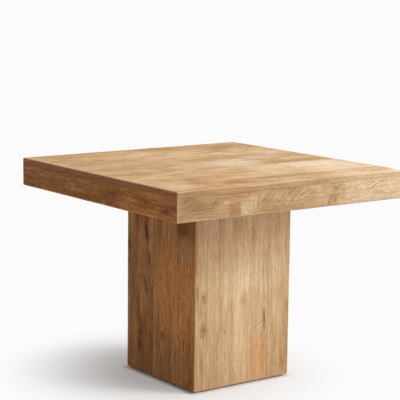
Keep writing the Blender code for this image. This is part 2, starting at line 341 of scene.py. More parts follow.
def curly_grain(graph, grain, clouds):
    """Short strokes that lean across the fibres, in patches."""
    along = graph.part(grain, (math.cos(CURL_SLANT), math.sin(CURL_SLANT), 0))
    across = graph.part(grain, (-math.sin(CURL_SLANT), math.cos(CURL_SLANT), 0))
    place = stretched(graph, graph.join(along, across, 0.0), CURL_SCALE)
    curls = graph.span(graph.noise(place, detail=3.0), *CURLS)
    return graph.math("MULTIPLY", curls, graph.span(clouds, *CURL_PATCHES))


def face_marks(graph, grain, place, face, marks):
    """Share of each mark at a point, with outlines that follow the fibres."""
    across_axis, up_axis = FACE_AXES[face]
    spot = graph.join(graph.part(place, across_axis), graph.part(place, up_axis), 0.0)
    ragged = graph.noise(stretched(graph, grain, RAGGED_SCALE), output="Color")
    ragged = graph.vector("SUBTRACT", ragged, (0.5, 0.5, 0.5))
    ragged = graph.scaled(ragged, (RAGGED_REACH, RAGGED_REACH, 0))
    return [(mark, mark_share(graph, spot, ragged, mark)) for mark in marks]


def growth_rings(graph, grain, figure, marked, fibres, clouds):
    """Late wood of the growth rings, which bend round the knots and are stronger there."""
    across = graph.math("ADD", graph.part(grain, (0, 1, 0)), graph.part(grain, (0, 0, 1)))
    hills = graph.noise(stretched(graph, grain, figure.hills), detail=3.0)
    rings = graph.math("MULTIPLY_ADD", across, figure.straight, graph.math("MULTIPLY", hills, figure.rings))
    swirl = 1.0
    for mark, share in marked:
        if mark.knot:
            rings = graph.math("MULTIPLY_ADD", share, mark.knot / mark.strength, rings)
            swirl = graph.math("MULTIPLY_ADD", share, KNOT_LINES / mark.strength, swirl)
    lines = graph.math("POWER", graph.math("FRACT", rings), LATE_WOOD)
    lines = graph.math("MULTIPLY", lines, graph.span(fibres, *RINGS_ON_FIBRES))
    lines = graph.math("MULTIPLY", lines, graph.span(clouds, *RINGS_ON_CLOUDS))
    return graph.math("MULTIPLY", lines, swirl)


def speckled(graph, colour, speckles, strength):
    """A colour with darker and paler specks or fibres."""
    shade = graph.mix(graph.span(speckles, *SPECKLES), DARK_FIBRE, PALE_FIBRE)
    return graph.mix(strength, colour, shade, "MULTIPLY")


def end_grain(graph, place):
    """Colour of sawn ends, with painted shade: darker and redder on the left and back than on the lit front
    and right.
    """
    rings = graph.noise(graph.scaled(place, END_SCALE), detail=4.0, roughness=0.6)
    shaded = graph.ramp(rings, list(zip(END_STOPS, PAINTED_SHADE_ENDS)))
    lit = graph.ramp(rings, list(zip(END_STOPS, LIT_ENDS)))
    return graph.mix(graph.span(graph.part(place, LIT_SIDE), -LIT_BLEND, LIT_BLEND), shaded, lit)


def wood(name, palette, figure, face, marks):
    """Oiled hardwood. The grain attribute runs along, across and into each piece of wood."""
    graph = new_material(name)
    place = graph.position()
    grain = graph.attribute("grain", "Vector")
    streaks = graph.noise(stretched(graph, grain, figure.streaks), detail=6.0, roughness=0.66)
    clouds = graph.noise(stretched(graph, grain, figure.clouds), detail=4.0, roughness=0.55)
    fibres = graph.noise(stretched(graph, grain, figure.fibres), detail=3.0, roughness=0.6)
    mottle = graph.noise(stretched(graph, grain, MOTTLE_SCALE), detail=3.0, roughness=0.6)
    dashes = graph.span(graph.noise(stretched(graph, grain, figure.dashes), detail=2.0), *DASHES)
    pores = graph.span(graph.noise(stretched(graph, grain, PORE_SCALE), detail=1.0), *PORES)
    marked = face_marks(graph, grain, place, face, marks)
    lines = growth_rings(graph, grain, figure, marked, fibres, clouds)

    colour = graph.ramp(streaks, list(zip(STREAK_STOPS, (palette.deep, palette.middle, palette.pale))))
    colour = graph.mix(graph.span(clouds, *PALE_CLOUDS, 0.0, figure.cloud_strength), colour, palette.pale)
    colour = graph.mix(graph.span(clouds, *DEEP_CLOUDS, 0.0, figure.cloud_strength), colour, palette.deep)
    for mark, share in marked:
        colour = graph.mix(share, colour, mark.colour)
    colour = graph.lay(palette.line, lines, figure.lines, over=colour)
    if figure.curl:
        colour = graph.lay(palette.line, curly_grain(graph, grain, clouds), figure.curl, over=colour)
    colour = speckled(graph, colour, fibres, figure.fibre_strength)
    colour = speckled(graph, colour, mottle, figure.mottle)
    colour = graph.lay(palette.line, dashes, figure.dash_strength, over=colour)
    colour = graph.lay(palette.line, pores, PORE_STRENGTH, over=colour)
    colour = graph.mix(1.0, colour, graph.attribute("tint", "Color"), "MULTIPLY")
    colour = graph.lay(end_grain(graph, place), graph.attribute("end", "Fac"), END_STRENGTH, over=colour)
    # Paler arrises: partly real wear, partly a painted highlight on the rounded edges
    worn_and_highlit = graph.span(fibres, *WEAR_AND_HIGHLIGHT_ON_FIBRES)
    colour = graph.lay(palette.worn_and_highlit, graph.attribute("wear_and_highlight", "Fac"), worn_and_highlit, over=colour)
    colour = graph.lay(palette.line, graph.attribute("seam", "Fac"), SEAM_STRENGTH, over=colour)

    height = graph.math("MULTIPLY_ADD", lines, RING_DEPTH, graph.math("MULTIPLY", pores, -1.0))
    graph.bump(height, strength=0.35, distance=0.0004)
    graph.shader.inputs["Specular IOR Level"].default_value = WOOD_SPECULAR
    return graph.finish(colour, graph.span(streaks, *NOISE_RANGE, *WOOD_ROUGHNESS))


LIT_WOOD = Palette(
    pale=srgb(228, 196, 153), middle=srgb(212, 176, 133), deep=srgb(193, 153, 108),
    line=srgb(146, 104, 64), worn_and_highlit=srgb(238, 210, 170),
)
BAND_WOOD = Palette(
    pale=srgb(210, 175, 132), middle=srgb(194, 157, 114), deep=srgb(179, 140, 97),
    line=srgb(128, 87, 51), worn_and_highlit=srgb(224, 192, 150),
)
TOP_WOOD = Palette(
    pale=srgb(237, 207, 166), middle=srgb(216, 179, 134), deep=srgb(189, 147, 101),
    line=srgb(160, 118, 76), worn_and_highlit=srgb(218, 180, 138),
)
# Painted shade: the left and back faces get darker, redder copies of the wood, which stand in for their
# shade
PAINTED_SHADE_WOOD = Palette(
    pale=srgb(217, 159, 101), middle=srgb(197, 137, 84), deep=srgb(165, 109, 63),
    line=srgb(100, 57, 28), worn_and_highlit=srgb(212, 150, 88),
)
PAINTED_SHADE_BAND_WOOD = Palette(
    pale=srgb(194, 132, 76), middle=srgb(176, 115, 62), deep=srgb(150, 94, 49),
    line=srgb(96, 52, 24), worn_and_highlit=srgb(216, 150, 86),
)

# Colours of the marks on the lit faces and on the top
DARK_KNOT = srgb(104, 66, 40)
BROWN = srgb(168, 124, 80)
ORANGE = srgb(214, 162, 110)
RUST = srgb(196, 132, 76)
FEATHER = srgb(142, 104, 66)
PALE = srgb(240, 217, 184)
TAN = srgb(208, 160, 104)
HONEY = srgb(184, 136, 86)
ROSY = srgb(242, 192, 148)

# Colours of the marks on the shaded faces, redder and mostly darker to go with the painted shade of those
# faces
UMBER = srgb(94, 54, 30)
AMBER = srgb(236, 158, 86)
CORAL = srgb(228, 152, 94)
ASH = srgb(160, 122, 86)
LILAC = srgb(190, 150, 114)
CREAM = srgb(232, 176, 124)
BRICK = srgb(150, 76, 44)
SOOT = srgb(66, 54, 48)

STRAIGHT = Figure(
    hills=(1.6, 11.0), rings=9.0, straight=45.0, lines=0.38,
    streaks=(1.9, 17.0), clouds=(6.0, 15.0), cloud_strength=0.30,
    dashes=(16.0, 150.0), dash_strength=0.22, fibres=(3.5, 120.0), fibre_strength=0.46,
    mottle=0.26,
)
FLAMED = Figure(
    hills=(2.4, 9.0), rings=14.0, straight=6.0, lines=0.50,
    streaks=(2.6, 15.0), clouds=(5.0, 11.0), cloud_strength=0.50,
    dashes=(14.0, 150.0), dash_strength=0.40, fibres=(6.0, 95.0), fibre_strength=0.80,
    mottle=0.60,
)
RIPPLED = Figure(
    hills=(2.4, 14.0), rings=10.0, straight=20.0, lines=0.45,
    streaks=(4.0, 26.0), clouds=(6.0, 14.0), cloud_strength=0.25,
    dashes=(18.0, 150.0), dash_strength=0.30, fibres=(8.0, 150.0), fibre_strength=1.0,
    mottle=0.55,
)
SLAB = Figure(
    hills=(1.6, 6.0), rings=9.0, straight=10.0, lines=0.25,
    streaks=(4.0, 10.0), clouds=(7.0, 8.0), cloud_strength=0.90,
    dashes=(18.0, 45.0), dash_strength=0.18, fibres=(5.0, 210.0), fibre_strength=0.74,
    mottle=0.34,
)
CURLY = Figure(
    hills=(11.0, 17.0), rings=16.0, straight=0.0, lines=0.50,
    streaks=(8.0, 16.0), clouds=(7.0, 12.0), cloud_strength=0.20,
    dashes=(50.0, 130.0), dash_strength=0.06, fibres=(16.0, 190.0), fibre_strength=0.70,
    mottle=0.32, curl=0.30,
)


# Knots, stains and streaks of each face, with some patches of painted light and shade

KNOT_HEART = (0.45, 0.35)  # half sizes of a knot's dark heart, as shares of the knot's
STROKE_REACH = 6  # millimetres


def metres(*millimetres):
    return [value / 1000 for value in millimetres]


def upright_marks(half, *marks):
    """Marks given in millimetres from a face's left edge and the floor, in metres from the table's axis."""
    moved = []
    for mark in marks:
        across, up = metres(*mark.place)
        moved.append(replace(mark, place=(across - half, up), reach=metres(*mark.reach)))
    return moved


def top_marks(*marks):
    """Marks given in millimetres from the left and back edges of the top, in metres from its middle."""
    moved = []
    for mark in marks:
        left, back = metres(*mark.place)
        moved.append(replace(mark, place=(left - top_half, top_half - back), reach=metres(*mark.reach)))
    return moved


def knotted(place, reach, stain, heart):
    """A knot: growth rings that bend round a ragged dark heart."""
    heart_reach = (KNOT_HEART[0] * reach[0], KNOT_HEART[1] * reach[1])
    return [
        Mark(place, reach, stain, 0.50, knot=2.0, ragged=0.8),
        Mark(place, heart_reach, heart, 0.65, ragged=1.2),
    ]


def strokes(colour, strength, *places):
    """Thin slanting strokes on an edge band, each given by its middle, its half height and its lean."""
    return [
        Mark((across, up), (STROKE_REACH, half), colour, strength, core=(0.2, 0.5), lean=lean, ragged=0.15)
        for across, up, half, lean in places
    ]


FRONT_STAVE_MARKS = upright_marks(
    pedestal_half,
    # painted light: a warmer, paler band in the shade under the top
    Mark((208, 560), (600, 130), ROSY, 0.40, core=(0.5, 0.4)),
    # painted shade: the staves darker towards the floor
    Mark((208, 0), (600, 240), BROWN, 0.36, core=(0.5, 0.0)),
    # painted light: a paler band just below the shadow of the top
    Mark((200, 372), (150, 95), PALE, 0.30, core=(0.3, 0.2)),
    Mark((350, 395), (50, 80), PALE, 0.28, core=(0.3, 0.4)),
    Mark((130, 297), (30, 55), PALE, 0.22),
    Mark((240, 255), (50, 120), BROWN, 0.24, core=(0.4, 0.4)),
    Mark((302, 454), (22, 45), BROWN, 0.26),
    Mark((315, 20), (30, 30), BROWN, 0.32),
    # painted light: paler in the shade under the top
    Mark((343, 592), (45, 45), ROSY, 0.36),
    Mark((40, 240), (110, 150), BROWN, 0.24, core=(0.3, 0.3)),
    Mark((380, 220), (120, 280), BROWN, 0.24, core=(0.4, 0.4)),
    Mark((36, 332), (20, 32), BROWN, 0.45, knot=1.8, ragged=0.8),
    Mark((37, 334), (10, 10), FEATHER, 0.65, ragged=1.2),
    Mark((41, 318), (7, 10), FEATHER, 0.45, ragged=1.2),
    Mark((37, 218), (24, 38), BROWN, 0.55, knot=2.2, ragged=0.8),
    Mark((39, 220), (12, 14), FEATHER, 0.70, ragged=1.2),
    Mark((34, 199), (12, 10), FEATHER, 0.55, ragged=1.2),
    Mark((34, 241), (3, 16), FEATHER, 0.60, core=(0.2, 0.3), ragged=0.3),
    Mark((85, 480), (30, 46), BROWN, 0.25, knot=3.5),
    Mark((85, 545), (34, 50), BROWN, 0.20, knot=3.5),
    Mark((208, 307), (22, 40), BROWN, 0.25, knot=2.0, ragged=0.5),
    Mark((279, 85), (38, 125), ORANGE, 0.60, core=(0.97, 0.35), ragged=0.04),
    Mark((300, 110), (16, 90), RUST, 0.40, core=(0.4, 0.3), ragged=0.3),
    Mark((238.5, 120), (4, 170), PALE, 0.45, core=(0.3, 0.5), ragged=0.2),
    Mark((303, 222), (11, 60), BROWN, 0.85, core=(0.2, 0.3), lean=-0.06, ragged=0.4),
    Mark((303, 235), (7, 36), FEATHER, 0.65, core=(0.1, 0.2), lean=-0.10, ragged=0.3),
    Mark((284, 211), (6, 17), DARK_KNOT, 0.36, core=(0.2, 0.6), lean=1.7, ragged=0.1),
    Mark((276, 192), (6, 12), DARK_KNOT, 0.24, core=(0.2, 0.5), lean=1.7, ragged=0.1),
    Mark((281, 201), (6, 15), PALE, 0.35, core=(0.2, 0.5), lean=1.7, ragged=0.1),
    Mark((287, 163), (11, 15), BROWN, 0.40, ragged=0.8),
    Mark((287, 163), (5, 7), PALE, 0.45, ragged=0.5),
    Mark((294, 390), (3, 50), DARK_KNOT, 0.55, core=(0.2, 0.3), ragged=0.2),
    Mark((300, 310), (10, 60), BROWN, 0.50, ragged=0.5),
    Mark((384, 510), (6, 90), PALE, 0.70, core=(0.3, 0.5), ragged=0.2),
    Mark((130, 202), (6, 14), RUST, 0.80, ragged=0.4),
    Mark((130, 118), (6, 14), RUST, 0.80, ragged=0.4),
    Mark((0, 500), (12, 110), RUST, 0.85, core=(0.4, 0.6), ragged=0.3),
    Mark((10, 350), (8, 50), DARK_KNOT, 0.55, ragged=0.4),
    Mark((22, 290), (14, 40), BROWN, 0.50),
    Mark((30, 110), (12, 70), BROWN, 0.55, core=(0.1, 0.3), lean=-0.05),
    Mark((388, 58), (22, 55), BROWN, 0.45, knot=3.5, ragged=0.5),
    Mark((407, 255), (8, 50), BROWN, 0.70, core=(0.2, 0.3), ragged=0.4),
)
LEFT_STAVE_MARKS = upright_marks(
    pedestal_half,
    # painted shade: the staves darker towards the floor
    Mark((208, 0), (600, 220), UMBER, 0.16, core=(0.5, 0.0)),
    Mark((320, 340), (190, 240), AMBER, 0.52, core=(0.3, 0.3)),
    Mark((240, 360), (60, 150), AMBER, 0.35),
    Mark((297, 375), (36, 85), CREAM, 0.48, core=(0.2, 0.3)),
    Mark((20, 330), (40, 220), ASH, 0.50),
    Mark((63, 530), (3, 90), UMBER, 0.80, core=(0.3, 0.4), ragged=0.2),
    Mark((122, 520), (14, 44), UMBER, 0.85, core=(0.2, 0.3), lean=-0.20),
    Mark((142, 430), (9, 40), UMBER, 0.70, core=(0.1, 0.3), lean=-0.10),
    Mark((118, 330), (15, 55), UMBER, 0.60, core=(0.1, 0.2), lean=-0.25),
    Mark((130, 390), (26, 110), ASH, 0.30),
    Mark((87, 285), (16, 115), CORAL, 0.75, core=(0.2, 0.2), lean=-0.05, ragged=0.7),
    Mark((70, 240), (5, 70), UMBER, 0.60, core=(0.1, 0.2), lean=0.08, ragged=0.4),
    Mark((83, 200), (10, 14), BRICK, 0.80, ragged=0.5),
    Mark((82, 150), (10, 18), UMBER, 0.75, ragged=0.6),
    Mark((80, 105), (18, 50), UMBER, 0.75, knot=2.0, ragged=0.6),
    Mark((40, 30), (40, 26), CORAL, 0.50),
    Mark((160, 130), (3, 150), UMBER, 0.50, core=(0.2, 0.4), ragged=0.2),
    Mark((168, 160), (4, 180), CORAL, 0.65, core=(0.2, 0.4), ragged=0.2),
    Mark((221, 165), (16, 26), UMBER, 0.50, knot=2.2, ragged=0.5),
    Mark((323, 319), (18, 7), UMBER, 0.42, core=(0.3, 0.2), ragged=0.4),
    Mark((362, 485), (50, 75), LILAC, 0.78),
    Mark((345, 565), (55, 42), UMBER, 0.60, core=(0.4, 0.3), ragged=1.6),
    Mark((330, 568), (7, 9), BRICK, 0.70, ragged=0.6),
    Mark((355, 566), (6, 8), BRICK, 0.70, ragged=0.6),
    Mark((352, 165), (6, 40), UMBER, 0.75, lean=0.15, ragged=0.4),
    Mark((384, 165), (10, 22), BRICK, 0.80, ragged=0.6),
    Mark((364, 225), (5, 50), CORAL, 0.85, lean=0.12, ragged=0.3),
    Mark((376, 240), (4, 45), UMBER, 0.60, lean=0.12, ragged=0.3),
    Mark((10, 462), (14, 22), SOOT, 0.65, core=(0.3, 0.3), ragged=0.6),
    Mark((6, 402), (12, 14), SOOT, 0.55, core=(0.3, 0.3), ragged=0.6),
)
RIGHT_STAVE_MARKS = upright_marks(
    pedestal_half,
    # painted shade: the staves darker towards the floor
    Mark((208, 0), (600, 240), BROWN, 0.34, core=(0.5, 0.0)),
    Mark((220, 390), (140, 120), PALE, 0.34, core=(0.3, 0.2)),
    Mark((316, 120), (38, 140), ORANGE, 0.50, core=(0.95, 0.3), ragged=0.05),
    *knotted((105, 440), (22, 36), BROWN, FEATHER),
    *knotted((230, 215), (18, 30), BROWN, FEATHER),
    Mark((372, 350), (10, 90), BROWN, 0.60, core=(0.2, 0.3), lean=-0.05),
    Mark((34, 170), (11, 80), BROWN, 0.60, core=(0.1, 0.3), lean=0.06),
)
BACK_STAVE_MARKS = upright_marks(
    pedestal_half,
    Mark((130, 300), (160, 220), AMBER, 0.40, core=(0.3, 0.3)),
    Mark((340, 420), (60, 180), ASH, 0.45),
    *knotted((280, 250), (22, 36), UMBER, SOOT),
    *knotted((85, 490), (17, 28), UMBER, SOOT),
    Mark((200, 150), (4, 120), UMBER, 0.60, core=(0.2, 0.4), ragged=0.3),
    Mark((375, 150), (12, 70), CORAL, 0.60, core=(0.2, 0.2), lean=0.05),
)
FRONT_BAND_MARKS = upright_marks(
    top_half,
    Mark((880, 700), (300, 100), PALE, 0.44, core=(0.3, 0.6)),
    Mark((600, 712), (50, 45), PALE, 0.20, core=(0.3, 0.5)),
    Mark((475, 674), (55, 24), BROWN, 0.28),
    Mark((0, 700), (300, 100), BROWN, 0.28, core=(0.4, 0.6)),
    Mark((240, 730), (120, 18), BROWN, 0.42, core=(0.3, 0.3)),
    # painted highlight: pale line down the rounded corner at the left end
    Mark((3, 700), (5, 70), PALE, 0.30, core=(0.4, 0.8), ragged=0.1),
    # painted highlight: pale line along the rounded bottom edge
    Mark((200, 663), (280, 4), PALE, 0.22, core=(0.7, 0.4), ragged=0.2),
    Mark((310, 738.5), (210, 5), FEATHER, 0.40, core=(0.7, 0.3), ragged=0.2),
    Mark((52, 726), (50, 32), FEATHER, 0.34, core=(0.3, 0.3), ragged=2.5),
    Mark((100, 700), (80, 30), FEATHER, 0.25, ragged=2.5),
    Mark((145, 713), (20, 9), FEATHER, 0.40, core=(0.2, 0.2)),
    Mark((226, 680), (26, 42), BROWN, 0.40, core=(0.7, 0.3), ragged=0.2),
    Mark((268, 676), (20, 44), PALE, 0.34, core=(0.6, 0.1), ragged=0.4),
    Mark((296, 685), (22, 50), PALE, 0.24, ragged=0.6),
    Mark((355, 700), (30, 30), BROWN, 0.30, knot=3.0),
    Mark((655, 722), (13, 10), FEATHER, 0.85, ragged=1.6),
    Mark((632, 690), (14, 13), FEATHER, 0.55, knot=1.5, ragged=0.6),
    Mark((650, 686), (9, 16), FEATHER, 0.75, ragged=1.6),
    Mark((625, 676), (12, 10), FEATHER, 0.60, ragged=1.6),
    Mark((362, 722), (16, 12), FEATHER, 0.40, ragged=2.0),
    Mark((690, 706), (3, 12), BROWN, 0.70, core=(0.2, 0.4), ragged=0.2),
    *strokes(FEATHER, 0.65, (78, 708, 16, 3.0), (62, 696, 12, 3.0), (60, 680, 8, 2.0)),
    *strokes(FEATHER, 0.55, (464, 725, 15, 1.8), (483, 723, 13, 1.8), (475, 706, 23, 1.4)),
    *strokes(FEATHER, 0.55, (517, 714, 9, 2.4), (533, 707, 11, 2.0)),
    *strokes(BROWN, 0.50, (277, 680, 12, -1.4)),
    *strokes(FEATHER, 0.24, (303, 694, 28, -0.1), (322, 708, 18, 0.3), (352, 718, 12, 0.9)),
    *strokes(FEATHER, 0.30, (366, 722, 12, 0.9), (353, 708, 6, -1.0)),
    *strokes(PALE, 0.18, (312, 702, 30, 0.1), (294, 710, 20, 0.3), (332, 714, 16, 0.7)),
    *strokes(BROWN, 0.75, (796, 706, 8, 1.6), (808, 720, 14, 2.0), (832, 716, 19, 2.0)),
    *strokes(BROWN, 0.60, (802, 734, 6, 2.4), (852, 722, 12, 2.4), (402, 698, 10, -0.5)),
    *strokes(PALE, 0.28, (474, 724, 15, 1.8), (492, 712, 20, 1.5), (525, 711, 10, 2.2)),
    *strokes(PALE, 0.55, (803, 716, 12, 2.0), (826, 722, 16, 2.0), (850, 722, 16, 2.0)),
)
LEFT_BAND_MARKS = upright_marks(
    top_half,
    Mark((100, 700), (250, 80), ASH, 0.20),
    Mark((860, 726), (170, 16), CORAL, 0.28, core=(0.4, 0.3)),
    Mark((400, 737.5), (340, 6), UMBER, 0.42, core=(0.7, 0.3), ragged=0.3),
    Mark((850, 710), (300, 90), AMBER, 0.22, core=(0.4, 0.5)),
    Mark((605, 705), (30, 12), UMBER, 0.65, lean=-1.2, ragged=0.5),
    Mark((900, 690), (40, 14), UMBER, 0.65),
    Mark((350, 690), (120, 20), CORAL, 0.20),
    Mark((545, 668), (20, 10), AMBER, 0.80),
    # painted highlight: pale orange line along the rounded bottom edge
    Mark((450, 664), (500, 4), AMBER, 0.60, core=(0.6, 0.2), ragged=0.3),
)
RIGHT_BAND_MARKS = upright_marks(
    top_half,
    Mark((250, 700), (260, 60), PALE, 0.32, core=(0.3, 0.4)),
    Mark((450, 738.5), (300, 5), FEATHER, 0.38, core=(0.7, 0.3), ragged=0.2),
    *knotted((640, 700), (26, 16), BROWN, FEATHER),
    *strokes(FEATHER, 0.45, (180, 712, 14, 2.0), (196, 706, 12, 2.2), (800, 700, 12, -2.0)),
)
BACK_BAND_MARKS = upright_marks(
    top_half,
    Mark((700, 700), (250, 80), AMBER, 0.25, core=(0.4, 0.5)),
    Mark((400, 737.5), (340, 6), UMBER, 0.42, core=(0.7, 0.3), ragged=0.3),
    *knotted((330, 698), (26, 16), UMBER, SOOT),
    Mark((820, 690), (45, 14), UMBER, 0.60, ragged=0.5),
)
TOP_MARKS = top_marks(
    Mark((780, 568), (180, 48), HONEY, 0.75, core=(0.3, 0.4), ragged=1.5),
    Mark((820, 730), (240, 140), PALE, 0.90, core=(0.2, 0.6), ragged=2.0),
    Mark((600, 800), (150, 100), PALE, 0.40, ragged=2.0),
    Mark((880, 950), (330, 36), PALE, 0.60, core=(0.4, 0.6), ragged=0.2),
    Mark((100, 965), (420, 12), BROWN, 0.72, core=(0.4, 0.6), ragged=0.2),
    Mark((560, 965), (200, 8), BROWN, 0.40, core=(0.4, 0.6), ragged=0.2),
    Mark((60, 965), (120, 6), FEATHER, 0.40, core=(0.3, 0.6), ragged=0.2),
    Mark((675, 690), (16, 40), BROWN, 0.80),
    Mark((670, 380), (10, 120), BROWN, 0.50, core=(0.2, 0.3), ragged=1.5),
    Mark((320, 450), (500, 700), TAN, 0.30, core=(0.4, 0.6)),
    Mark((570, 500), (150, 90), PALE, 0.75, core=(0.2, 0.2), ragged=2.0),
    Mark((580, 640), (140, 130), PALE, 0.35, ragged=2.0),
    Mark((570, 197), (170, 40), PALE, 0.60, ragged=1.5),
    Mark((400, 170), (80, 70), PALE, 0.40, ragged=2.0),
    Mark((480, 860), (230, 40), HONEY, 0.70, core=(0.4, 0.3), ragged=2.0),
    Mark((190, 780), (40, 50), BROWN, 0.70, ragged=2.0),
    Mark((310, 880), (50, 60), BROWN, 0.55, ragged=2.0),
    Mark((260, 480), (50, 120), BROWN, 0.40, ragged=2.0),
    Mark((80, 870), (90, 90), PALE, 0.65, ragged=2.0),
    Mark((820, 100), (300, 160), BROWN, 0.62, ragged=2.0),
    Mark((150, 250), (250, 300), BROWN, 0.10),
    Mark((290, 905), (90, 50), HONEY, 0.55, core=(0.3, 0.3), ragged=2.0),
    Mark((545, 780), (110, 85), PALE, 0.62, ragged=2.0),
    Mark((660, 660), (90, 50), PALE, 0.35, ragged=2.0),
    Mark((410, 660), (120, 70), PALE, 0.32, ragged=2.0),
    Mark((268, 692), (75, 50), PALE, 0.32, ragged=2.0),
    Mark((740, 420), (200, 65), PALE, 0.45, ragged=2.0),
    Mark((130, 390), (120, 90), PALE, 0.26, ragged=2.0),
    Mark((290, 890), (75, 50), HONEY, 0.85, core=(0.3, 0.3)),
    Mark((40, 660), (100, 70), TAN, 0.40),
    Mark((545, 690), (100, 100), PALE, 0.28, ragged=2.0),
    Mark((250, 30), (250, 60), TAN, 0.40),
    Mark((690, 40), (160, 60), BROWN, 0.35),
    Mark((0, 480), (36, 600), ROSY, 0.45, core=(0.2, 0.9), ragged=0.3),
)


# Inner wood, plywood, zinc and nylon

PLANED_STREAKS = 24.0
PLANED_FIBRES = 260.0
PLANED_STRETCH = 0.08  # scale along the fibres, as a share of the scale across them
PLANED_LINES = (0.50, 0.75, 0.0, 0.5)
PLY_THICKNESS = 0.0015
PLY_GRAIN = (9.0, 160.0)
ZINC_MOTTLE = (220.0, 220.0, 220.0)
ZINC_SCRATCHES = (500.0, 4000.0, 900.0)
NYLON_EGGSHELL = (2600.0, 2600.0, 2600.0)
NYLON_SCUFFS = (150.0, 420.0, 300.0)
SCUFFED = (0.52, 0.75, 0.0, 0.6)


def planed_wood(name, along):
    """Unfinished inner wood, its grain along an axis of the table."""
    graph = new_material(name)
    place = graph.position()
    stretch = [PLANED_STRETCH if axis == along else 1.0 for axis in (X, Y, Z)]
    broad = graph.noise(graph.scaled(place, [PLANED_STREAKS * share for share in stretch]), detail=4.0)
    fine = graph.noise(graph.scaled(place, [PLANED_FIBRES * share for share in stretch]), detail=2.0)
    colour = graph.tones(broad, srgb(176, 142, 102), srgb(214, 184, 144))
    colour = graph.mix(graph.span(fine, *PLANED_LINES), colour, srgb(142, 106, 70))
    graph.bump(fine, strength=0.4, distance=0.0004)
    return graph.finish(colour, graph.span(broad, *NOISE_RANGE, to_low=0.62, to_high=0.78))


def plywood(name):
    """Thin plies whose grain turns by a quarter from one to the next, so that the edges show stripes."""
    graph = new_material(name)
    place = graph.position()
    along, across = PLY_GRAIN
    plies = graph.math("DIVIDE", graph.part(place, (0, 0, 1)), 2 * PLY_THICKNESS)
    crossed = graph.math("GREATER_THAN", graph.math("FRACT", plies), 0.5)
    lengthways = graph.noise(graph.scaled(place, (along, across, across)), detail=4.0)
    crossways = graph.noise(graph.scaled(place, (across, along, across)), detail=4.0)
    pale = graph.tones(lengthways, srgb(190, 156, 114), srgb(222, 193, 152))
    dark = graph.tones(crossways, srgb(150, 112, 74), srgb(184, 146, 102))
    graph.bump(lengthways, strength=0.3, distance=0.0003)
    roughness = graph.span(lengthways, *NOISE_RANGE, to_low=0.60, to_high=0.75)
    return graph.finish(graph.mix(crossed, pale, dark), roughness)


def zinc(name):
    """Zinc plating with a faint mottle and fine scratches."""
    graph = new_material(name)
    place = graph.position()
    mottle = graph.noise(graph.scaled(place, ZINC_MOTTLE), detail=4.0)
    scratches = graph.noise(graph.scaled(place, ZINC_SCRATCHES), detail=2.0)
    colour = graph.tones(mottle, srgb(186, 188, 188), srgb(206, 204, 196))
    graph.bump(scratches, strength=0.15, distance=0.0001)
    return graph.finish(colour, graph.span(mottle, *NOISE_RANGE, to_low=0.28, to_high=0.44), metallic=1.0)


def nylon(name):
    """Black moulded nylon with a fine eggshell grain and paler scuffs."""
    graph = new_material(name)
    place = graph.position()
    eggshell = graph.noise(graph.scaled(place, NYLON_EGGSHELL), detail=2.0)
    scuffs = graph.noise(graph.scaled(place, NYLON_SCUFFS), detail=4.0)
    colour = graph.mix(graph.span(scuffs, *SCUFFED), srgb(42, 41, 40), srgb(88, 86, 83))
    graph.bump(eggshell, strength=0.3, distance=0.0001)
    return graph.finish(colour, graph.span(scuffs, low=0.4, high=0.7, to_low=0.46, to_high=0.62))


# Meshes of the wooden pieces


def divisions(low, high, fine_low, fine_high):
    """Positions from low to high, a step apart, with finer ones near each end."""
    first = [low + offset for offset in (0.0, *fine_low)]
    last = [high - offset for offset in reversed((0.0, *fine_high))]
    count = max(2, round((last[0] - first[-1]) / MESH_STEP) + 1)
    return np.array([*first, *np.linspace(first[-1], last[0], count)[1:-1], *last])


def lattice(positions):
    """Points and quads of a box's surface, divided at the positions along each of its three axes."""
    counts = [len(line) for line in positions]
    numbers = np.full(counts, -1)
    on_surface = np.zeros(counts, bool)
    for axis in (X, Y, Z):
        sides = np.moveaxis(on_surface, axis, 0)
        sides[0] = sides[-1] = True
    numbers[on_surface] = np.arange(on_surface.sum())
    grid = np.stack(np.meshgrid(*positions, indexing="ij"), axis=-1)
    quads = []
    for axis in (X, Y, Z):
        sides = np.moveaxis(numbers, axis, 0)
        for side, is_far in ((sides[0], False), (sides[-1], True)):
            corners = [side[:-1, :-1], side[1:, :-1], side[1:, 1:], side[:-1, 1:]]
            if is_far == (axis == Y):
                corners.reverse()
            quads.append(np.stack(corners, axis=-1).reshape(-1, 4))
    return grid[on_surface], np.concatenate(quads)


def wander(points, waves, shift):
    """Smooth noise from -1 to 1 at each point."""
    return np.array([noise.noise(Vector(point) * waves + shift) for point in points])


def eased(points, low, high, radius, shift):
    """Points of a block drawn in to its rounded, unevenly worn outer edges, and how far each lies in the
    rounding, which sets its wear and painted highlight.
    """
    radius = radius * (1 + ARRIS_WEAR * wander(points, WEAR_WAVES, shift))[:, None]
    core = np.clip(points, np.array(low) + radius, np.array(high) - radius)
    away = points - core
    reach = np.abs(away).max(axis=1, keepdims=True)
    distance = np.linalg.norm(away, axis=1, keepdims=True)
    share = np.divide(reach, distance, out=np.ones_like(reach), where=distance > 0)
    wear_and_highlight = np.clip((1 - share[:, 0]) / (1 - math.sqrt(0.5)), 0, 1)
    return core + away * share, wear_and_highlight


def worn_corner(points):
    """How far the top falls at each point, near its worn corner."""
    corner = np.array((top_half, -top_half))
    away = np.linalg.norm(points[:, :2] - corner, axis=1)
    return WORN_DEPTH * np.clip(1 - away / WORN_REACH, 0, 1) ** 2


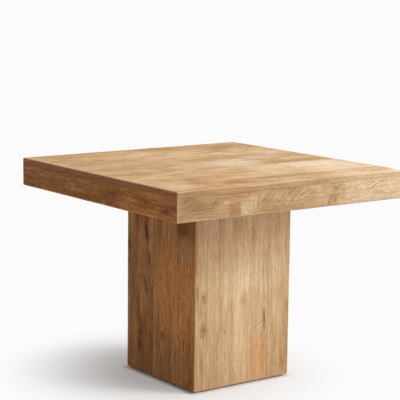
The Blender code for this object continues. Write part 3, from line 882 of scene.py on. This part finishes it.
def make_object(name, points, faces, material):
    """A mesh object with smooth faces and sharp edges."""
    mesh = bpy.data.meshes.new(name)
    mesh.from_pydata(points.tolist(), [], faces)
    mesh.shade_smooth()
    mesh.set_sharp_from_angle(angle=SMOOTH_ANGLE)
    mesh.materials.append(material)
    piece = bpy.data.objects.new(name, mesh)
    bpy.context.scene.collection.objects.link(piece)
    return piece


def give(piece, name, values):
    """Stores one number or vector for each point of a piece, for its material to read."""
    is_vector = values.ndim == 2
    attribute = piece.data.attributes.new(name, "FLOAT_VECTOR" if is_vector else "FLOAT", "POINT")
    attribute.data.foreach_set("vector" if is_vector else "value", values.astype(np.float32).ravel())


def stand_for(piece, node, body="table"):
    """Puts a piece in a node's place and on a body."""
    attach(piece, body)
    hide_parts(node)


# Tints that tell the boards and staves apart
PLAIN = (1.0, 1.0, 1.0)
WARM = (1.0, 0.97, 0.93)
PALER = (1.04, 1.04, 1.04)
DARKER = (0.94, 0.93, 0.91)
BROWNER = (0.96, 0.93, 0.88)
BOARD_TINTS = (PLAIN, WARM, PALER, PLAIN, DARKER, PLAIN, WARM, BROWNER)
STAVE_TINTS = {
    "front": (DARKER, PLAIN, PLAIN, PALER, PLAIN, PLAIN, PLAIN),
    "right": (PLAIN, PALER, WARM, DARKER, PLAIN),
    "back": (DARKER, PLAIN, WARM, PLAIN, BROWNER, PALER, PLAIN),
    "left": (DARKER, DARKER, PLAIN, PALER, PALER),
}

# Lowest and highest corner of each glued-up block, and the radius of its outer edges
TOP_BLOCK = ((-top_half, -top_half, band_bottom), (top_half, top_half, table_height), TOP_RADIUS)
PEDESTAL_BLOCK = (
    (-pedestal_half, -pedestal_half, pedestal_bottom),
    (pedestal_half, pedestal_half, table_height),
    PEDESTAL_RADIUS,
)


@dataclass
class Timber:
    """One wooden piece in the place it would have on the front of the table."""

    node: str
    low: Vector
    high: Vector
    along: int  # axis of the grain
    out: int  # axis that points out of the face
    outside: int  # 1 if the outer face is the high one, -1 if it is the low one
    block: tuple  # that it is part of
    outer: set  # axis and end of each of its sides that ends at an outer edge of the block
    turn: int = 0  # quarter turns from the front to its own face
    mitres: tuple = (False, False)  # at the low and the high end of the X axis
    tint: tuple = PLAIN

    @property
    def across(self):
        return X + Y + Z - self.along - self.out


def timber_corners(timber):
    """Lowest and highest corner of a piece, whose mitred ends run on to the corners of its block."""
    low, high = np.array(timber.low), np.array(timber.high)
    if timber.mitres[LOW]:
        low[X] = timber.block[LOW][X] + MITRE_GAP
    if timber.mitres[HIGH]:
        high[X] = timber.block[HIGH][X] - MITRE_GAP
    return low, high


def end_divisions(timber, axis):
    """Offsets of the finer divisions at the low and the high end of an axis."""
    return [ARRIS_DIVISIONS if (axis, end) in timber.outer else SEAM_DIVISIONS for end in (LOW, HIGH)]


def lies_at(points, axis, level):
    return np.abs(points[:, axis] - level) < TOUCHING


def seam_share(points, timber, corners, on_face):
    """1 where the outer face meets its neighbour at a glue joint."""
    share = np.zeros(len(points))
    for axis in (timber.along, timber.across):
        for end in (LOW, HIGH):
            if (axis, end) not in timber.outer:
                share[on_face & lies_at(points, axis, corners[end][axis])] = 1.0
    return share


def sawn_share(points, timber, corners):
    """Share of the end grain's colour: all of it on sawn ends, some on the long sides of the top."""
    share = np.zeros(len(points))
    for end in (LOW, HIGH):
        share[lies_at(points, timber.along, corners[end][timber.along])] = 1.0
    for end in (LOW, HIGH):
        if timber.out == Z and (timber.across, end) in timber.outer:
            share[lies_at(points, timber.across, corners[end][timber.across])] = BOARD_SIDES[end]
    return share


grain_shifts = random.Random(11)


def make_timber(timber, material):
    """A planed piece of wood: chamfered at its glue joints, rounded and worn at the outer edges."""
    corners = timber_corners(timber)
    low, high = corners
    places = [divisions(low[axis], high[axis], *end_divisions(timber, axis)) for axis in (X, Y, Z)]
    points, quads = lattice(places)
    shift = Vector([grain_shifts.uniform(-GRAIN_SHIFT, GRAIN_SHIFT) for _ in (X, Y, Z)])
    step = grain_shifts.uniform(0, BOARD_STEP)

    outer_level = high[timber.out] if timber.outside > 0 else low[timber.out]
    inwards = np.abs(points[:, timber.out] - outer_level)
    on_face = inwards < TOUCHING
    grain = points[:, [timber.along, timber.across, timber.out]] + np.array(shift)
    seam = seam_share(points, timber, corners, on_face)
    sawn = sawn_share(points, timber, corners)
    waves = FACE_WAVE * (1 + wander(points, FACE_WAVES, shift)) / 2 + step
    sink = np.where(on_face, np.maximum(seam * SEAM_CHAMFER, waves), 0.0)

    points, wear_and_highlight = eased(points, *timber.block, shift)
    points[:, timber.out] -= timber.outside * sink
    if timber.out == Z:
        points[:, Z] -= worn_corner(points) * (points[:, Z] - low[Z]) / (high[Z] - low[Z])
    from_low = (points[:, X] - low[X]) / (high[X] - low[X])
    points[:, X] += inwards * (timber.mitres[LOW] * (1 - from_low) - timber.mitres[HIGH] * from_low)

    turned = points @ np.array(Matrix.Rotation(timber.turn * math.pi / 2, 3, "Z")).T
    piece = make_object(f"{timber.node}_wood", turned, quads.tolist(), material)
    give(piece, "grain", grain)
    give(piece, "tint", np.tile(timber.tint, (len(points), 1)))
    give(piece, "end", sawn)
    give(piece, "wear_and_highlight", wear_and_highlight)
    give(piece, "seam", seam)
    stand_for(piece, timber.node)


def front_box(node, turn):
    """Corners of a node's box, turned back to the front of the table."""
    turned = [Matrix.Rotation(-turn * math.pi / 2, 3, "Z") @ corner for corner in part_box(node)]
    return Vector(map(min, *turned)), Vector(map(max, *turned))


def make_top_boards(material):
    for index in range(BOARD_COUNT):
        node = f"top_board_{index + 1}"
        outer = {(X, LOW), (X, HIGH), (Z, HIGH)}
        if index == 0:
            outer.add((Y, LOW))
        if index == BOARD_COUNT - 1:
            outer.add((Y, HIGH))
        board = Timber(
            node, *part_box(node), along=X, out=Z, outside=1, block=TOP_BLOCK, outer=outer,
            tint=BOARD_TINTS[index],
        )
        make_timber(board, material)


def make_edge_bands(materials):
    outer = {(X, LOW), (X, HIGH), (Y, LOW), (Z, LOW)}
    for turn, face in enumerate(FACES):
        node = f"edge_band_{face}"
        band = Timber(
            node, *front_box(node, turn), along=X, out=Y, outside=-1, block=TOP_BLOCK, outer=outer,
            turn=turn, mitres=(True, True),
        )
        make_timber(band, materials[face])


def make_staves(materials):
    for turn, face in enumerate(FACES):
        count = STAVE_COUNTS[face]
        for index in range(count):
            node = f"stave_{face}_{index + 1}"
            mitres = (index == 0, index == count - 1)
            outer = {(Y, LOW), (Z, LOW)} | {(X, end) for end in (LOW, HIGH) if mitres[end]}
            stave = Timber(
                node, *front_box(node, turn), along=Z, out=Y, outside=-1, block=PEDESTAL_BLOCK, outer=outer,
                turn=turn, mitres=mitres, tint=STAVE_TINTS[face][index],
            )
            make_timber(stave, materials[face])


# Turned and threaded hardware

SEGMENTS = 24
ANGLES = np.arange(SEGMENTS) * 2 * math.pi / SEGMENTS
RINGS_PER_TURN = 6
EDGE_EASE = 0.0004
HEX_FLATS = 0.013
HEX_CHAMFER = 0.0007

STEM_FOOT_RADIUS = 0.0057
STEM_RADIUS = 0.004
STEM_ROOT_RADIUS = 0.0034
STEM_PITCH = 0.00125
STEM_LENGTH = 0.040  # above the collar
STEM_POINT = 0.001
COLLAR_HEIGHT = 0.005

SCREW_RADIUS = 0.004
SCREW_ROOT_RADIUS = 0.0029
SCREW_PITCH = 0.003
SCREW_HEAD_HEIGHT = 0.0055
SCREW_SHANK_LENGTH = 0.020  # smooth stretch in the plate
SCREW_POINT_LENGTH = 0.008
SCREW_TIP_RADIUS = 0.0004
WASHER_THICKNESS = 0.0016
HEAD_DOME = 0.0004

PAD_EDGE = 0.0012
PAD_EDGE_STEPS = 4
PAD_FLOOR = 0.0025
SOCKET_RADIUS = 0.006


def ring(radius, height):
    """Points round the Z axis. The radius may vary with the angle."""
    radius = np.broadcast_to(radius, ANGLES.shape)
    return np.stack([radius * np.cos(ANGLES), radius * np.sin(ANGLES), np.full(SEGMENTS, height)], axis=1)


def hexagon(limit):
    """Radius of a hexagon at each angle, with its corners turned down to a limit."""
    from_flat = (ANGLES + math.pi / 6) % (math.pi / 3) - math.pi / 6
    return np.minimum(HEX_FLATS / 2 / np.cos(from_flat), limit)


def hexagon_rings(low, high):
    """A hexagon prism whose corners are chamfered at both ends."""
    corner = HEX_FLATS / 2 / math.cos(math.pi / 6)
    turned = corner - 2 * HEX_CHAMFER
    return [
        ring(hexagon(turned), low),
        ring(hexagon(corner), low + HEX_CHAMFER),
        ring(hexagon(corner), high - HEX_CHAMFER),
        ring(hexagon(turned), high),
    ]


def thread_rings(low, high, crest, root, pitch):
    """A right-hand thread that runs out to its root at both ends."""
    count = round((high - low) / pitch * RINGS_PER_TURN)
    rings = []
    for height in np.linspace(low, high, count + 1):
        ridge = 0.5 + 0.5 * np.cos(2 * math.pi * height / pitch - ANGLES)
        fade = min(1.0, (height - low) / pitch, (high - height) / pitch)
        rings.append(ring(root + (crest - root) * ridge * fade, height))
    return rings


def make_turned(node, rings, material, body):
    """A closed piece of rings from the bottom up, round the upright axis of the node that it stands for."""
    low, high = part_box(node)
    axis = np.array(((low.x + high.x) / 2, (low.y + high.y) / 2, 0))
    points = np.concatenate(rings) + axis
    following = np.roll(np.arange(SEGMENTS), -1)
    faces = [list(reversed(range(SEGMENTS)))]
    for level in range(len(rings) - 1):
        lower, upper = level * SEGMENTS, (level + 1) * SEGMENTS
        for here, there in enumerate(following):
            faces.append([lower + here, lower + there, upper + there, upper + here])
    faces.append([(len(rings) - 1) * SEGMENTS + index for index in range(SEGMENTS)])
    piece = make_object(f"{node}_turned", points, faces, material)
    stand_for(piece, node, body)


def make_stem(corner, material):
    """Threaded stem with a hexagon collar, on a round foot that turns in the pad."""
    node = f"leveller_stem_{corner}"
    low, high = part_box(node)
    collar_top = high.z - STEM_LENGTH
    collar_bottom = collar_top - COLLAR_HEIGHT
    rings = [
        ring(STEM_FOOT_RADIUS - EDGE_EASE, low.z),
        ring(STEM_FOOT_RADIUS, low.z + EDGE_EASE),
        ring(STEM_FOOT_RADIUS, collar_bottom),
        *hexagon_rings(collar_bottom, collar_top),
        *thread_rings(collar_top, high.z - STEM_POINT, STEM_RADIUS, STEM_ROOT_RADIUS, STEM_PITCH),
        ring(STEM_ROOT_RADIUS - STEM_POINT, high.z),
    ]
    make_turned(node, rings, material, f"stem_{corner}")


def make_screw(corner, material):
    """Coach screw: a domed hexagon head on a washer, a smooth shank and a coarse thread."""
    node = f"coach_screw_{corner}"
    low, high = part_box(node)
    washer_radius = (high.x - low.x) / 2
    head_top = low.z + SCREW_HEAD_HEIGHT
    washer_top = head_top + WASHER_THICKNESS
    shank_top = washer_top + SCREW_SHANK_LENGTH
    head = hexagon_rings(low.z + HEAD_DOME, head_top)
    rings = [
        ring(hexagon(HEX_FLATS / 2 - 2 * HEAD_DOME), low.z),
        *head[:-1],
        ring(hexagon(HEX_FLATS), head_top),
        ring(washer_radius - EDGE_EASE, head_top),
        ring(washer_radius, head_top + EDGE_EASE),
        ring(washer_radius, washer_top - EDGE_EASE),
        ring(washer_radius - EDGE_EASE, washer_top),
        ring(SCREW_RADIUS, washer_top),
        ring(SCREW_RADIUS, shank_top),
        *thread_rings(shank_top, high.z - SCREW_POINT_LENGTH, SCREW_RADIUS, SCREW_ROOT_RADIUS, SCREW_PITCH),
        ring(SCREW_TIP_RADIUS, high.z),
    ]
    make_turned(node, rings, material, "table")


def make_pad(corner, material):
    """Nylon glide with rounded edges and a socket for the foot of the stem."""
    node = f"leveller_pad_{corner}"
    low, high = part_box(node)
    radius = (high.x - low.x) / 2
    inner = radius - PAD_EDGE
    turns = [math.pi / 2 * step / PAD_EDGE_STEPS for step in range(PAD_EDGE_STEPS + 1)]
    bulges = [(PAD_EDGE * math.sin(turn), PAD_EDGE * (1 - math.cos(turn))) for turn in turns]
    rings = [
        *[ring(inner + out, low.z + up) for out, up in bulges],
        *[ring(inner + out, high.z - up) for out, up in reversed(bulges)],
        ring(SOCKET_RADIUS + EDGE_EASE, high.z),
        ring(SOCKET_RADIUS, high.z - EDGE_EASE),
        ring(SOCKET_RADIUS, PAD_FLOOR),
    ]
    make_turned(node, rings, material, f"pad_{corner}")


# Stage

FLOOR_SIZE = 6.0
FLOOR_GREYS = ((0.925, 0.935, 0.945, 1), (0.945, 0.955, 0.965, 1))
FLOOR_TINT = (3.0, 3.0, 3.0)  # scale of the faint unevenness
FLOOR_BOUNCE = (0.6, 0.6, 0.6, 1)  # colour that the floor throws back on the table
WHITE = (0.965, 0.965, 0.965, 1)
AMBIENT = 0.38

# White share of the floor: none under the pedestal, some in the shadow to its left, all of it far away
SHADOW_CENTRE = (-0.075, 0.085, 0.0)
SHADOW_REACH = (0.16, 0.68)
SHADOW_WHITE = 0.20
GAP_REACH = (0.004, 0.020)


def seen(graph):
    """1 for what the camera sees directly, in a reflection or through glass."""
    path = graph.tree.nodes.new("ShaderNodeLightPath")
    rays = graph.math("MAXIMUM", path.outputs["Is Camera Ray"], path.outputs["Is Glossy Ray"])
    return graph.math("MAXIMUM", rays, path.outputs["Is Transmission Ray"])


def make_floor():
    """A pale floor that keeps the shadow round the table and runs out into white."""
    graph = new_material("floor")
    place = graph.scaled(graph.position(), (1, 1, 0))
    away = graph.length(graph.vector("SUBTRACT", place, SHADOW_CENTRE))
    away = graph.span(away, *SHADOW_REACH, SHADOW_WHITE, 1.0)
    beside = graph.vector("SUBTRACT", graph.vector("ABSOLUTE", place), (pedestal_half, pedestal_half, 0))
    beside = graph.math("MAXIMUM", graph.part(beside, (1, 0, 0)), graph.part(beside, (0, 1, 0)))
    away = graph.math("MULTIPLY", away, graph.span(beside, *GAP_REACH))
    pale = graph.tones(graph.noise(graph.scaled(place, FLOOR_TINT), detail=2.0), *FLOOR_GREYS)
    is_seen = seen(graph)
    diffuse = graph.add("ShaderNodeBsdfDiffuse", {"Color": graph.mix(is_seen, FLOOR_BOUNCE, pale)})
    white = graph.add("ShaderNodeEmission", {"Color": WHITE, "Strength": 1.0})
    share = graph.math("MULTIPLY", away, is_seen)
    mixed = graph.add("ShaderNodeMixShader", {0: share, 1: diffuse, 2: white})
    graph.put(graph.tree.nodes["Material Output"].inputs["Surface"], mixed)
    half = FLOOR_SIZE / 2
    corners = np.array([(-half, -half, 0), (half, -half, 0), (half, half, 0), (-half, half, 0)])
    floor = make_object("floor", corners, [(0, 1, 2, 3)], graph.owner)


def make_world():
    """Even fill light, seen as a white background."""
    graph = Graph(bpy.data.worlds.new("studio"))
    graph.tree.nodes.clear()
    fill = graph.add("ShaderNodeBackground", {"Color": (1, 1, 1, 1), "Strength": AMBIENT})
    white = graph.add("ShaderNodeBackground", {"Color": WHITE, "Strength": 1.0})
    output = graph.tree.nodes.new("ShaderNodeOutputWorld")
    mixed = graph.add("ShaderNodeMixShader", {0: seen(graph), 1: fill, 2: white})
    graph.put(output.inputs["Surface"], mixed)
    bpy.context.scene.world = graph.owner


def make_lamp(name, azimuth, elevation, distance, size, power):
    """A square soft box that faces the table. Azimuth 0 stands in front, and 90 to the right."""
    data = bpy.data.lights.new(name, "AREA")
    data.shape = "SQUARE"
    data.size = size
    data.energy = power
    lamp = bpy.data.objects.new(name, data)
    bpy.context.scene.collection.objects.link(lamp)
    turn, tilt = math.radians(azimuth), math.radians(elevation)
    towards = Vector((math.sin(turn) * math.cos(tilt), -math.cos(turn) * math.cos(tilt), math.sin(tilt)))
    target = Vector((0, 0, table_height / 2))
    lamp.location = target + towards * distance
    lamp.rotation_euler = towards.to_track_quat("Z", "Y").to_euler()


def make_camera():
    data = bpy.data.cameras.new("camera")
    data.lens = CAMERA_LENS
    data.sensor_width = SENSOR_WIDTH
    camera = bpy.data.objects.new("camera", data)
    bpy.context.scene.collection.objects.link(camera)
    ahead = Vector((math.sin(CAMERA_YAW), math.cos(CAMERA_YAW), 0))
    right = Vector((math.cos(CAMERA_YAW), -math.sin(CAMERA_YAW), 0))
    camera.location = right * CAMERA_SIDE - ahead * CAMERA_DISTANCE + Vector((0, 0, CAMERA_HEIGHT))
    look = Euler((math.pi / 2 - CAMERA_PITCH, 0, -CAMERA_YAW)).to_matrix()
    camera.rotation_euler = (look @ Matrix.Rotation(CAMERA_ROLL, 3, "Z")).to_euler()
    bpy.context.scene.camera = camera


def dress(node, material):
    """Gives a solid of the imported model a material."""
    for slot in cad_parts[node].material_slots:
        slot.material = material


def main():
    bpy.context.scene.view_settings.view_transform = "Standard"
    make_camera()
    make_world()
    make_floor()
    make_lamp("key", azimuth=46, elevation=28, distance=9.0, size=3.4, power=520)
    make_lamp("fill", azimuth=36, elevation=9, distance=9.0, size=2.4, power=170)
    make_lamp("overhead", azimuth=60, elevation=66, distance=3.0, size=2.0, power=24)

    make_top_boards(wood("top_wood", TOP_WOOD, SLAB, "top", TOP_MARKS))
    make_edge_bands({
        "front": wood("front_band_wood", BAND_WOOD, CURLY, "front", FRONT_BAND_MARKS),
        "right": wood("right_band_wood", BAND_WOOD, STRAIGHT, "right", RIGHT_BAND_MARKS),
        "back": wood("back_band_wood", PAINTED_SHADE_BAND_WOOD, FLAMED, "back", BACK_BAND_MARKS),
        "left": wood("left_band_wood", PAINTED_SHADE_BAND_WOOD, RIPPLED, "left", LEFT_BAND_MARKS),
    })
    make_staves({
        "front": wood("front_stave_wood", LIT_WOOD, STRAIGHT, "front", FRONT_STAVE_MARKS),
        "right": wood("right_stave_wood", LIT_WOOD, STRAIGHT, "right", RIGHT_STAVE_MARKS),
        "back": wood("back_stave_wood", PAINTED_SHADE_WOOD, FLAMED, "back", BACK_STAVE_MARKS),
        "left": wood("left_stave_wood", PAINTED_SHADE_WOOD, FLAMED, "left", LEFT_STAVE_MARKS),
    })

    batten_wood = planed_wood("batten_wood", Y)
    post_wood = planed_wood("post_wood", Z)
    plate_ply = plywood("plywood")
    zinc_steel = zinc("zinc_steel")
    pad_nylon = nylon("pad_nylon")
    for side in ("left", "right"):
        dress(f"batten_{side}", batten_wood)
    for node in ("mounting_plate", "base_board"):
        dress(node, plate_ply)
    for corner in CORNERS:
        dress(f"corner_post_{corner}", post_wood)
        dress(f"leveller_nut_{corner}", zinc_steel)
        make_screw(corner, zinc_steel)
        make_stem(corner, zinc_steel)
        make_pad(corner, pad_nylon)


main()
